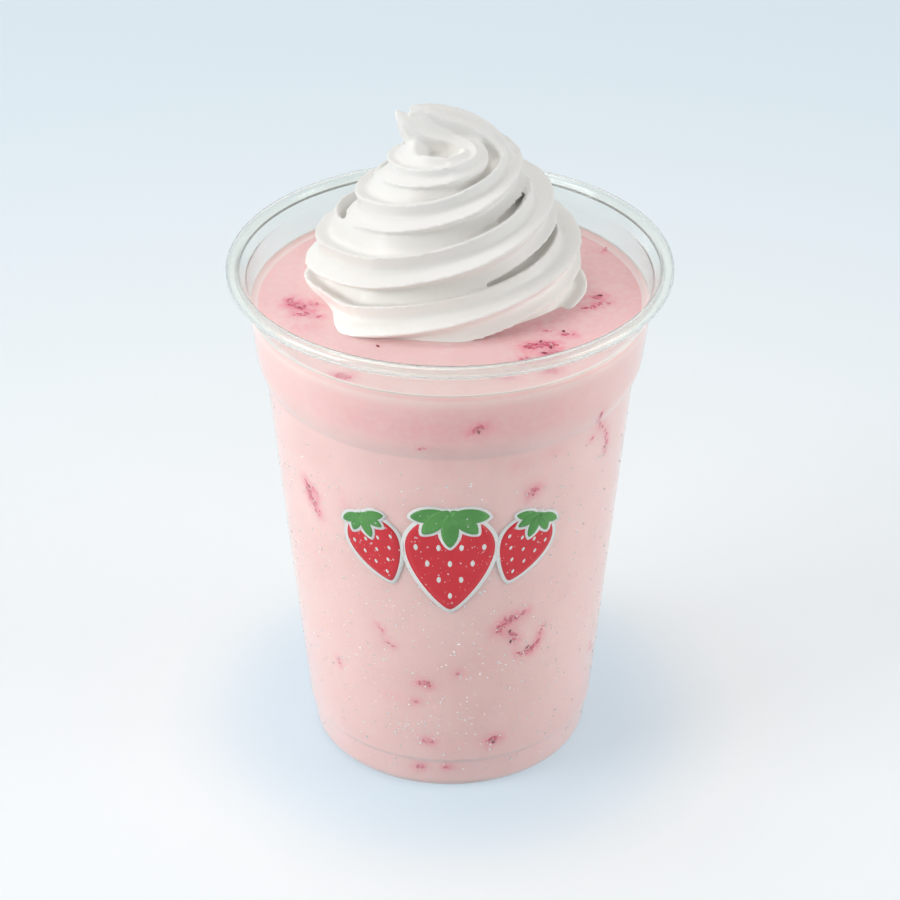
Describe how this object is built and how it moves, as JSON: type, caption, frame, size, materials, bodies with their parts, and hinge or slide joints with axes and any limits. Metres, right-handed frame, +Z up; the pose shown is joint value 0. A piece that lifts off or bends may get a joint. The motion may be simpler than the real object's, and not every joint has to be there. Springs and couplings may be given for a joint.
{
  "type": "strawberry milkshake",
  "caption": "Strawberry milkshake with fruit flecks in a clear plastic cup with a rolled lip, topped with a star-piped swirl of whipped cream.",
  "frame": {"origin": "centre of the cup's underside, on the surface it stands on", "axes": "+Z up along the cup's axis; -Y is the side with the printed mark and +X is to its right as seen from there; the swirl stands towards +Y and its tip bends to -X"},
  "size_m": [0.098, 0.098, 0.1532],
  "materials": {
    "clear_plastic": "clear glossy thermoformed plastic",
    "strawberry_shake": "smooth pale pink drink with a soft sheen",
    "whipped_cream": "satin piped cream",
    "strawberry": "wet crushed fruit",
    "strawberry_seed": "small dark seeds",
    "print_red": "ink on the cup's outside",
    "print_white": "ink on the cup's outside",
    "print_leaf": "ink on the cup's outside",
    "dew": "condensed water drops"
  },
  "bodies": {
    "root": {"cup": "clear_plastic", "milkshake": "strawberry_shake", "swirl": "whipped_cream"}
  },
  "joints": []
}
